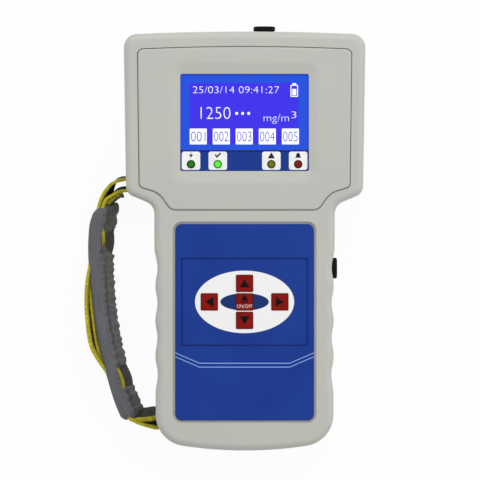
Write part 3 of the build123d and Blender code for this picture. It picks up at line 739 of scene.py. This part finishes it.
# Plastics give two tones, a range of roughness and the grain's depth; metals one tone and one roughness
hardware = {
    "zincSteel": {
        "metal": ((0.52, 0.52, 0.53), 0.32),
        "nodes": (
            "case_screws", "door_screws", "board_screws", "strap_pin_upper", "strap_pin_lower", "lcd_module",
        ),
    },
    "turnedAluminium": {"metal": ((0.62, 0.62, 0.63), 0.35), "nodes": ("inlet_nozzle",)},
    "turnedBrass": {"metal": ((0.60, 0.44, 0.18), 0.3), "nodes": ("laser_module",)},
    "blackPlastic": {
        "plastic": ((0.012, 0.012, 0.013), (0.018, 0.018, 0.018), (0.45, 0.6), 0.02),
        "nodes": (
            "buzzer", "optical_chamber", "photo_detector", "fan_frame", "fan_rotor", "charging_socket",
        ),
    },
    "blackRubber": {
        "plastic": ((0.004, 0.004, 0.0045), (0.007, 0.007, 0.0075), (0.42, 0.6), 0.03, 2200.0, 0.08),
        "nodes": ("inlet_cap", "charging_plug"),
    },
    "siliconeHose": {
        "plastic": ((0.45, 0.45, 0.42), (0.5, 0.5, 0.46), (0.3, 0.45), 0.02), "nodes": ("sampling_hose",),
    },
    "circuitBoard": {
        "plastic": ((0.01, 0.10, 0.03), (0.01, 0.13, 0.05), (0.3, 0.4), 0.02), "nodes": ("main_board",),
    },
    "batterySleeve": {
        "plastic": ((0.02, 0.07, 0.22), (0.02, 0.08, 0.26), (0.25, 0.35), 0.02), "nodes": ("battery_pack",),
    },
    "sealCord": {
        "plastic": ((0.03, 0.03, 0.03), (0.04, 0.04, 0.04), (0.5, 0.6), 0.02), "nodes": ("case_seal",),
    },
}


def metalFinish(name, colour, roughness):
    material, sheet, shader, place = startMaterial(name, roughness, metallic=1.0)
    grain = sheet.effect(mouldedGrain, Vector=place, Grains=2500.0, Patches=120.0)
    sheet.link(sheet.mixColour(grain["Patch"], colour, shade(colour, 0.8)), shader.inputs["Base Color"])
    addBump(sheet, shader, grain["Height"], 0.01, 0.4)
    return material


def finishHardware():
    for name, look in hardware.items():
        if "metal" in look:
            material = metalFinish(name, *look["metal"])
        else:
            material = mouldedPlastic(name, *look["plastic"])
        for node in look["nodes"]:
            paintNode(node, material)
    print("hardware finished")


strap = {
    "line": [
        (-78.2, 20.8), (-81.0, 9.3), (-82.0, -1.8), (-82.2, -12.9), (-81.5, -24.0), (-80.6, -35.1),
        (-79.2, -46.2), (-77.2, -57.3), (-74.6, -68.4), (-71.4, -79.4), (-67.5, -90.5), (-62.8, -100.8),
    ],
    "thick": (8.8, 11.0, 11.0, 10.2, 9.8, 9.3, 9.3, 9.3, 9.2, 9.8, 10.6, 10.8),
    "lean": (20, 19, 18, 17, 16.5, 16, 15.5, 15, 15, 15, 15, 16),
    "middle": 17.0,
    "wide": 23.4,
    "skin": 0.5,
    "length": 127.0,
    "girth": 62.0,
    "rows": 96,
    "ring": 48,
    "corner": 3.4,
    "endSlant": (0.58, -0.10),
    "endTaper": 0.30,
    "endRound": 0.022,
    "pressure": 4.0,
    "swell": 0.9,
    "swellFrames": 20,
    "ripples": ((0.34, 1.50, 0, 0, 0.9), (0.20, 0.71, 1.3, 0.15, 0), (0.10, 2.3, 0, 0.5, 0)),
    "wanderPace": 0.31,
    "rippleEnds": (0.01, 0.05),
    "windows": ((0.100, 0.232), (0.752, 0.866)),
    "windowHalf": 9.6,
    "windowDeep": 2.1,
    "windowEdge": 0.010,
    "windowSide": 0.8,
    "cover": (0.112, 0.115, 0.129),
    "coverPale": (0.137, 0.141, 0.153),
    "lining": (0.092, 0.092, 0.086),
    "liningPale": (0.151, 0.151, 0.141),
    # the dark colour below is painted shade, used along the seam and in the hollows between threads
    "seamAndGapShade": (0.028, 0.028, 0.028),
    "finish": (0.62, 0.25),
    "liningOut": (-0.7, -0.9),
    "liningFront": (9.6, 8.4),
    "seamFront": (6.8, 8.2),
    "seamShade": 0.35,
    # painted shade in the hollows between threads
    "threadGapShade": 0.25,
    "thread": 0.55,
    "grain": {"Grains": 900.0, "Patches": 120.0},
    "streak": (0.05, 0.6, 1),
    "sheen": (0.15, 0.4),
    "bump": (0.12, 0.6),
}
tape = {
    "wide": 20.0,
    "thick": 1.6,
    "edge": 2.9,
    "yellow": (0.700, 0.630, 0.025),
    "yellowDeep": (0.420, 0.370, 0.012),
    "black": (0.016, 0.015, 0.010),
    "blackPale": (0.062, 0.057, 0.036),
    "thread": 1.3,
    "edgeSoft": 0.25,
    "finish": (0.72, 0.2),
    "grain": {"Grains": 1600.0, "Patches": 260.0},
    # painted shade in the hollows between threads
    "yellowThreadGapShade": 0.7,
    "blackThreadGapShade": 0.6,
    "sheen": 0.1,
    "bump": (0.35, 0.8),
    "rows": {"outer": 220, "inner": 220, "tail": 80, "end": 40},
    "across": 16,
    "endWide": 17.0,
    "curl": 1.1,
    "curlSteps": 8,
    "corner": 0.3,
}


def spline(points, share):
    spans = len(points) - 1
    place = min(max(share, 0.0), 1.0) * spans
    index = min(int(place), spans - 1)
    t = place - index
    p1, p2 = Vector(points[index]), Vector(points[index + 1])
    p0 = Vector(points[index - 1]) if index > 0 else 2 * p1 - p2
    p3 = Vector(points[index + 2]) if index + 2 <= spans else 2 * p2 - p1
    return 0.5 * (2 * p1 + (p2 - p0) * t + (2 * p0 - 5 * p1 + 4 * p2 - p3) * t ** 2
                  + (3 * p1 - p0 - 3 * p2 + p3) * t ** 3)


def levelAt(values, share):
    place = min(max(share, 0.0), 1.0) * (len(values) - 1)
    index = min(int(place), len(values) - 2)
    return values[index] + (values[index + 1] - values[index]) * (place - index)


def runAt(points, share):  # place on the line, the outward side and the way ahead there
    step = 0.002
    here = spline(points, share)
    ahead = (spline(points, share + step) - spline(points, share - step)).normalized()
    return here, Vector((ahead.y, -ahead.x)), ahead


def smooth(value, low, high):
    t = min(max((value - low) / (high - low), 0.0), 1.0)
    return t * t * (3 - 2 * t)


# Grid whose map runs along (X) and across (Y), in millimetres once scaled
def gridSheet(name, along, across):
    deselectAll()
    bpy.ops.mesh.primitive_grid_add(x_subdivisions=along, y_subdivisions=across, size=2, calc_uvs=True)
    piece = bpy.context.object
    piece.name = name
    return piece


def scaleMap(piece, width, height):
    for corner in piece.data.uv_layers.active.data:
        corner.uv = (corner.uv.x * width, corner.uv.y * height)


def sleevePlace(share, n, z):  # from the pad's own section to the frame
    lean = radians(levelAt(strap["lean"], share))
    here, side, ahead = runAt(strap["line"], share)
    out = n * cos(lean) + z * sin(lean)
    up = z * cos(lean) - n * sin(lean)
    upper, lower = strap["endSlant"]
    slant = out * (upper * (1 - smooth(share, 0, 0.12)) + lower * smooth(share, 0.9, 1))
    place = here + side * out + ahead * slant
    return Vector((place.x, place.y, strap["middle"] + up)) * mm


# Point of the pad's rounded section, evenly spaced round it from the middle of the front edge
def sectionAt(part, halfThick, halfWide, corner):
    flatOut, flatUp, arc = halfThick - corner, halfWide - corner, corner * pi / 2
    runs = (flatOut, arc, 2 * flatUp, arc, 2 * flatOut, arc, 2 * flatUp, arc, flatOut)
    along = part * sum(runs)
    index = 0
    while index < 8 and along > runs[index]:
        along -= runs[index]
        index += 1
    if index % 2:
        quarter = index // 2
        turn = pi / 2 * quarter + along / corner
        middle = ((flatOut, flatUp), (flatOut, -flatUp), (-flatOut, -flatUp), (-flatOut, flatUp))[quarter]
        return middle[0] + corner * sin(turn), middle[1] + corner * cos(turn)
    sides = (
        (along, halfWide), (halfThick, flatUp - along), (flatOut - along, -halfWide),
        (-halfThick, along - flatUp), (along - flatOut, halfWide),
    )
    return sides[index // 2]


def makeSleeve():
    piece = gridSheet("strap_sleeve_pad", strap["rows"], strap["ring"])
    layers = {key: piece.data.attributes.new(key, "FLOAT", "POINT") for key in ("share", "outPart", "front")}
    for index, vertex in enumerate(piece.data.vertices):
        share = (vertex.co.x + 1) / 2
        thick = levelAt(strap["thick"], share) / 2 - strap["skin"]
        halfWide = strap["wide"] / 2 - strap["skin"]
        out, front = sectionAt((vertex.co.y + 1) / 2, thick, halfWide, strap["corner"])
        layers["share"].data[index].value = share
        layers["outPart"].data[index].value = out / thick
        layers["front"].data[index].value = front
        taper = 1 - strap["endTaper"] * (1 - smooth(min(share, 1 - share), 0, strap["endRound"]))
        vertex.co = sleevePlace(share, out * taper, front * (0.5 + 0.5 * taper))
    scaleMap(piece, strap["length"], strap["girth"])
    makeActive(piece)
    bpy.ops.object.mode_set(mode="EDIT")
    bpy.ops.mesh.select_all(action="SELECT")
    bpy.ops.mesh.remove_doubles(threshold=0.00001)
    bpy.ops.mesh.select_all(action="DESELECT")
    bpy.ops.mesh.select_non_manifold()
    bpy.ops.mesh.fill()
    bpy.ops.mesh.select_all(action="SELECT")
    bpy.ops.mesh.normals_make_consistent(inside=False)
    bpy.ops.object.mode_set(mode="OBJECT")
    swellPad(piece)
    smoothing = piece.modifiers.new("smoothing", "SUBSURF")
    smoothing.levels = 1
    smoothing.render_levels = 1
    applyModifiers(piece)
    shapeSleeve(piece)
    bpy.ops.object.shade_smooth()
    dress(piece, sleeveMaterial())
    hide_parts("strap_sleeve")
    print("sleeve padded")


def swellPad(piece):  # the padding presses the cover out, a little and never further than the cap
    start = [vertex.co.copy() for vertex in piece.data.vertices]
    makeActive(piece)
    cloth = piece.modifiers.new("cloth", "CLOTH")
    cloth.settings.use_pressure = True
    cloth.settings.uniform_pressure_force = strap["pressure"]
    cloth.settings.effector_weights.gravity = 0
    scene = bpy.context.scene
    for frameNumber in range(strap["swellFrames"]):
        scene.frame_set(frameNumber + 1)
    bpy.ops.object.modifier_apply(modifier="cloth")
    scene.frame_set(1)
    limit = strap["swell"] * mm
    for vertex, place in zip(piece.data.vertices, start):
        move = vertex.co - place
        if move.length > limit:
            move *= limit / move.length
        vertex.co = place + move


def shapeSleeve(piece):  # cross ribs and two windows towards the hand
    look = strap
    shares, outs, fronts = (piece.data.attributes[key].data for key in ("share", "outPart", "front"))
    for index, vertex in enumerate(piece.data.vertices):
        share, out, front = shares[index].value, outs[index].value, fronts[index].value
        length = share * look["length"]
        inner = smooth(-out, 0.1, 0.9)
        wander = sin(length * look["wanderPace"])
        ripple = 0
        for deep, pace, start, skew, drift in look["ripples"]:
            ripple += deep * sin(length * pace + start + skew * front + drift * wander)
        push = -inner * ripple * smooth(min(share, 1 - share), *look["rippleEnds"])
        for first, last in look["windows"]:
            dip = smooth(share, first, first + look["windowEdge"])
            dip *= 1 - smooth(share, last - look["windowEdge"], last)
            dip *= 1 - smooth(abs(front), look["windowHalf"], look["windowHalf"] + look["windowSide"])
            push = push * (1 - dip) + dip * smooth(-out, 0.5, 0.9) * look["windowDeep"]
        vertex.co += sleevePlace(share, push, 0) - sleevePlace(share, 0, 0)


def sleeveMaterial():
    look = strap
    material, sheet, shader, place = startMaterial("sleeveCloth", *look["finish"])
    chart = sheet.add("ShaderNodeUVMap").outputs[0]
    inside = sheet.add("ShaderNodeAttribute", attribute_name="outPart").outputs["Fac"]
    front = sheet.add("ShaderNodeAttribute", attribute_name="front").outputs["Fac"]
    weave = sheet.effect(threadWeave, Vector=chart, Pitch=look["thread"])
    grain = sheet.effect(mouldedGrain, Vector=place, **look["grain"])
    stretch = sheet.add("ShaderNodeMapping")
    stretch.inputs["Scale"].default_value = look["streak"]
    sheet.link(chart, stretch.inputs["Vector"])
    streaks = sheet.add("ShaderNodeTexNoise")
    streaks.inputs["Scale"].default_value = 1.0
    streaks.inputs["Detail"].default_value = 3
    sheet.link(stretch.outputs[0], streaks.inputs["Vector"])
    cover = sheet.mixColour(sheet.ramp(streaks.outputs[0], 0.35, 0.65), look["cover"], look["coverPale"])
    lining = sheet.mixColour(sheet.ramp(streaks.outputs[0], 0.3, 0.7), look["lining"], look["liningPale"])
    towardsHand = sheet.ramp(inside, *look["liningOut"])
    inner = sheet.math("MULTIPLY", towardsHand, sheet.ramp(front, *look["liningFront"]))
    colour = sheet.mixColour(inner, cover, lining)
    # painted shade: a darker band along the seam where the lining meets the cover
    seam = sheet.math("MULTIPLY", inner, sheet.ramp(front, *look["seamFront"]))
    colour = sheet.mixColour(sheet.math("MULTIPLY", seam, look["seamShade"]), colour, look["seamAndGapShade"])
    # painted shade in the hollows between the threads
    colour = sheet.mixColour(sheet.math("MULTIPLY", weave["Gap"], look["threadGapShade"]), colour, look["seamAndGapShade"])
    sheet.link(colour, shader.inputs["Base Color"])
    weight, roughness = look["sheen"]
    shader.inputs["Sheen Weight"].default_value = weight
    shader.inputs["Sheen Roughness"].default_value = roughness
    height = sheet.math("MULTIPLY_ADD", weave["Height"], 0.5, grain["Height"])
    addBump(sheet, shader, height, *look["bump"])
    return material


def tapeMaterial():
    look = tape
    material, sheet, shader, place = startMaterial("wovenTape", *look["finish"])
    chart = sheet.add("ShaderNodeUVMap").outputs[0]
    parts = sheet.add("ShaderNodeSeparateXYZ")
    sheet.link(chart, parts.inputs[0])
    across = parts.outputs["Y"]
    weave = sheet.effect(threadWeave, Vector=chart, Pitch=look["thread"])
    edges = sheet.ramp(across, look["edge"] + look["edgeSoft"], look["edge"] - look["edgeSoft"])
    wander = sheet.effect(mouldedGrain, Vector=place, **look["grain"])
    black = sheet.mixColour(wander["Patch"], look["black"], look["blackPale"])
    yellow = sheet.mixColour(wander["Patch"], look["yellow"], look["yellowDeep"])
    # the hollows between threads are painted darker: painted shade
    yellowGap = sheet.math("MULTIPLY", weave["Gap"], look["yellowThreadGapShade"])
    yellow = sheet.mixColour(yellowGap, yellow, look["yellowDeep"])
    blackGap = sheet.math("MULTIPLY", weave["Gap"], look["blackThreadGapShade"])
    black = sheet.mixColour(blackGap, black, look["black"])
    sheet.link(sheet.mixColour(edges, black, yellow), shader.inputs["Base Color"])
    shader.inputs["Sheen Weight"].default_value = look["sheen"]
    addBump(sheet, shader, weave["Height"], *look["bump"])
    return material


# A woven strip along stations: x, y, lean of its front edge outwards in degrees, shift in z
def makeTape(name, stations, rows, material, wide=tape["wide"]):
    piece = gridSheet(name, rows, tape["across"])
    flat = [station[:2] for station in stations]
    sides = [station[2:] for station in stations]
    length = sum((Vector(a) - Vector(b)).length for a, b in zip(flat, flat[1:]))
    steps = tape["curlSteps"]
    for vertex in piece.data.vertices:
        share = (vertex.co.x + 1) / 2
        over = (vertex.co.y + 1) / 2 * wide  # from the front edge to the back edge
        here, side = runAt(flat, share)[:2]
        lean, shift = spline(sides, share)
        reach = wide / 2 - over
        out, up = 0.0, 0.0
        for index in range(steps):  # the front of the strip leans a little more than its back
            middle = (index + 0.5) / steps * reach
            turn = radians(lean) * (1 + tape["curl"] * middle / wide)
            out += sin(turn) * reach / steps
            up += cos(turn) * reach / steps
        place = here + side * out
        vertex.co = (place.x * mm, place.y * mm, (strap["middle"] + shift + up) * mm)
    scaleMap(piece, length, wide)
    makeActive(piece)
    thicken = piece.modifiers.new("thickness", "SOLIDIFY")
    thicken.thickness = tape["thick"] * mm
    thicken.offset = 0
    soften = piece.modifiers.new("soften", "BEVEL")
    soften.width = tape["corner"] * mm
    soften.segments = 2
    applyModifiers(piece)
    bpy.ops.object.shade_smooth_by_angle(angle=radians(50))
    dress(piece, material)
    return piece


def besideSleeve(share, out, lean, shift):
    here, side = runAt(strap["line"], share)[:2]
    place = here + side * out
    return place.x, place.y, lean, shift


# Where each run of tape lies: beside the sleeve, the share along it and the distance from its middle
tapeRuns = {
    "outerTop": [
        (-59.4, 32.6, 0, 0), (-59.8, 35.6, -2, 0), (-63.0, 36.5, -4, 0), (-67.5, 36.1, -4, 0),
        (-70.4, 35.8, -5, 0), (-73.2, 34.6, -3, 0), (-75.6, 32.0, 4, 0), (-77.4, 28.2, 10, 0),
        (-78.8, 24.8, 13, 0), (-80.0, 21.2, 14, 0),
    ],
    "outerBeside": [
        (0.03, 1.4, 16, -1), (0.09, 1.4, 16, -1), (0.16, 1.8, 16, -1), (0.22, 2.4, 15, -1),
        (0.28, 3.4, 14, -1), (0.36, 6.2, 12, 0), (0.45, 7.8, 11, 0), (0.54, 8.5, 11, 0),
        (0.63, 8.6, 12, 0), (0.69, 6.6, 13, 0), (0.75, 3.6, 14, -1), (0.80, 1.8, 15, -1),
        (0.88, 1.8, 15, -1), (0.97, 1.4, 13, -1),
    ],
    "outerFoot": [
        (-64.2, -100.2, 8, 0), (-61.6, -102.3, 6, 0), (-58.6, -103.7, 5, 0), (-55.6, -104.2, 7, 0),
        (-52.6, -104.4, 10, 0), (-49.6, -104.4, 12, 0), (-45.6, -104.6, 6, 0), (-42.6, -104.0, 0, 0),
        (-41.4, -101.6, 0, 0),
    ],
    "innerTop": [
        (-59.4, 33.4, 0, 0), (-59.8, 31.0, -2, 0), (-63.0, 30.2, -5, 0), (-67.4, 30.0, -6, 0),
        (-70.4, 29.8, -6, 0), (-73.4, 28.5, -4, 0), (-76.4, 25.6, 1, 0), (-78.0, 22.4, 9, 0),
    ],
    "innerBeside": [
        (0.03, -0.6, 14, 0), (0.09, -2.6, 17, 0), (0.17, -4.0, 18, -1), (0.24, -2.8, 17, -1),
        (0.34, -1.2, 17, 0), (0.50, -0.6, 16, 0), (0.66, -1.2, 15, 0), (0.75, -2.8, 15, -1),
        (0.82, -3.9, 16, -1), (0.88, -2.6, 15, 0),
    ],
    "innerFoot": [
        (-64.0, -98.2, 16, 0), (-61.4, -98.9, 18, 0), (-58.4, -98.9, 18, 0), (-55.4, -98.6, 18, 0),
        (-52.4, -98.1, 18, 0), (-49.4, -98.0, 15, 0), (-45.6, -98.6, 6, 0), (-42.6, -99.2, 0, 0),
        (-41.4, -101.8, 0, 0),
    ],
    "tail": [
        (0.28, 2.6, 13, -2), (0.36, 4.0, 12, -3), (0.45, 4.8, 12, -3), (0.54, 4.9, 12, -3),
        (0.63, 5.0, 13, -3), (0.70, 4.2, 14, -3), (0.77, 2.6, 14, -2),
    ],
    "foldedEnd": [
        (-69.6, 26.8, 11, -1), (-71.9, 26.1, 6, -1), (-75.0, 23.7, 5, -1), (-77.4, 20.6, 8, -1),
    ],
}


def finishStrap():
    webbing = tapeMaterial()
    runs = tapeRuns
    rows = tape["rows"]
    for name in ("outer", "inner"):
        beside = [besideSleeve(*station) for station in runs[f"{name}Beside"]]
        stations = runs[f"{name}Top"] + beside + runs[f"{name}Foot"]
        piece = makeTape(f"strap_tape_{name}", stations, rows[name], webbing)
        if name == "outer":
            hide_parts("strap_tape")
    tail = [besideSleeve(*station) for station in runs["tail"]]
    makeTape("strap_tape_tail", tail, rows["tail"], webbing)
    makeTape("strap_tape_end", runs["foldedEnd"], rows["end"], webbing, tape["endWide"])
    makeSleeve()
    print("strap finished")


studio = {
    "cameraHeight": 3.0,
    "framePlane": 46.0,
    "viewWidth": 272.6,
    "aim": (-2.6, 0.6),
    "sky": 0.585,
    "keyPower": 9.3,
    "keyPlace": (-0.15, 1.0, 1.1),
    "keySize": (1.4, 0.8),
    "fillPower": 4.4,
    "fillPlace": (1.1, 0.1, 0.8),
    "fillSize": (1.0, 1.0),
    "floor": (0.93, 0.93, 0.93),
    "floorShare": 0.05,
    "floorSize": 8,
    "sensor": 36,
}


def backdropRays(sheet):
    path = sheet.add("ShaderNodeLightPath")
    seen = sheet.math("MAXIMUM", path.outputs["Is Camera Ray"], path.outputs["Is Glossy Ray"])
    return sheet.math("MAXIMUM", seen, path.outputs["Is Transmission Ray"])


def makeFloor():
    deselectAll()
    bpy.ops.mesh.primitive_plane_add(size=studio["floorSize"], location=(0, 0, 0))
    floor = bpy.context.object
    floor.name = "floor"
    material = bpy.data.materials.new("paleFloor")
    material.use_nodes = True
    sheet = NodeSheet(material.node_tree)
    shader = material.node_tree.nodes["Principled BSDF"]
    shader.inputs["Base Color"].default_value = (*studio["floor"], 1)
    shader.inputs["Roughness"].default_value = 0.9
    shader.inputs["Specular IOR Level"].default_value = 0.0
    glow = sheet.add("ShaderNodeEmission")
    glow.inputs["Color"].default_value = (1, 1, 1, 1)
    mix = sheet.add("ShaderNodeMixShader")
    share = sheet.math("MULTIPLY", backdropRays(sheet), 1 - studio["floorShare"])
    sheet.link(share, mix.inputs[0])
    sheet.link(shader.outputs[0], mix.inputs[1])
    sheet.link(glow.outputs[0], mix.inputs[2])
    sheet.link(mix.outputs[0], material.node_tree.nodes["Material Output"].inputs["Surface"])
    floor.data.materials.append(material)


def makeSky():
    world = bpy.data.worlds.new("studioSky")
    bpy.context.scene.world = world
    world.use_nodes = True
    sheet = NodeSheet(world.node_tree)
    background = world.node_tree.nodes["Background"]
    background.inputs["Color"].default_value = (1, 1, 1, 1)
    strength = sheet.math("MULTIPLY_ADD", backdropRays(sheet), 1 - studio["sky"], studio["sky"])
    sheet.link(strength, background.inputs["Strength"])


def addSoftbox(name, place, size, power):
    deselectAll()
    bpy.ops.object.light_add(type="AREA", location=place)
    lamp = bpy.context.object
    lamp.name = name
    lamp.data.shape = "RECTANGLE"
    lamp.data.size, lamp.data.size_y = size
    lamp.data.energy = power
    lamp.rotation_euler = (-Vector(place)).to_track_quat("-Z", "Y").to_euler()


def makeCamera():
    deselectAll()
    aimX, aimY = studio["aim"]
    bpy.ops.object.camera_add(location=(aimX * mm, aimY * mm, studio["cameraHeight"]))
    camera = bpy.context.object
    camera.rotation_euler = (0, 0, 0)
    distance = studio["cameraHeight"] - studio["framePlane"] * mm
    camera.data.sensor_width = studio["sensor"]
    camera.data.lens = studio["sensor"] * distance / (studio["viewWidth"] * mm)
    camera.data.clip_end = 20
    bpy.context.scene.camera = camera


def makeStudio():
    makeFloor()
    makeSky()
    addSoftbox("keyLight", studio["keyPlace"], studio["keySize"], studio["keyPower"])
    addSoftbox("fillLight", studio["fillPlace"], studio["fillSize"], studio["fillPower"])
    makeCamera()
    bpy.context.scene.view_settings.view_transform = "Standard"
    print("studio ready")


makeStudio()
finishCase()
finishKeypad()
finishKeys()
finishDisplay()
finishStrip()
finishHardware()
finishStrap()
